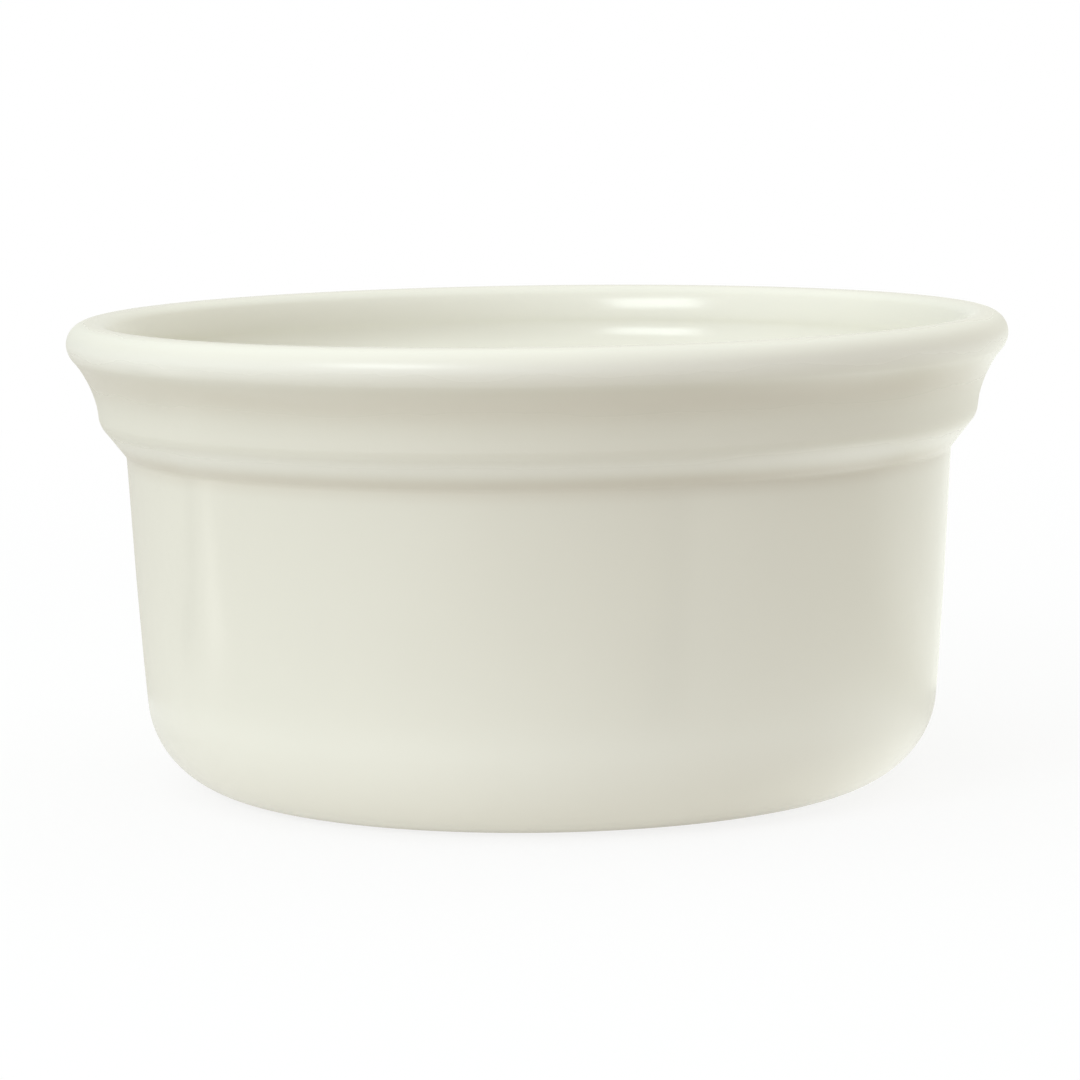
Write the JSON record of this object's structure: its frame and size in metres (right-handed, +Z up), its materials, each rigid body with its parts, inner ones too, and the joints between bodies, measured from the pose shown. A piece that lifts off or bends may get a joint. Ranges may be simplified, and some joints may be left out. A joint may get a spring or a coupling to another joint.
{
  "type": "individual casserole dish",
  "caption": "Round one-piece glazed china dish with a flared full-round lip, stepped collar, tapering wall and bare foot ring, for baking and serving a single portion.",
  "frame": {"origin": "on the table under the middle of the dish", "axes": "+Z up along the dish's axis of revolution; X and Y lie in the table plane and are free"},
  "size_m": [0.12, 0.12, 0.06],
  "materials": {
    "bare_china": "unglazed, fine-grained, matte",
    "ivory_glaze": "fired ivory glaze, glossy"
  },
  "bodies": {
    "root": {"china_body": "bare_china", "glaze_coat": "ivory_glaze", "base_glaze": "ivory_glaze"}
  },
  "joints": []
}
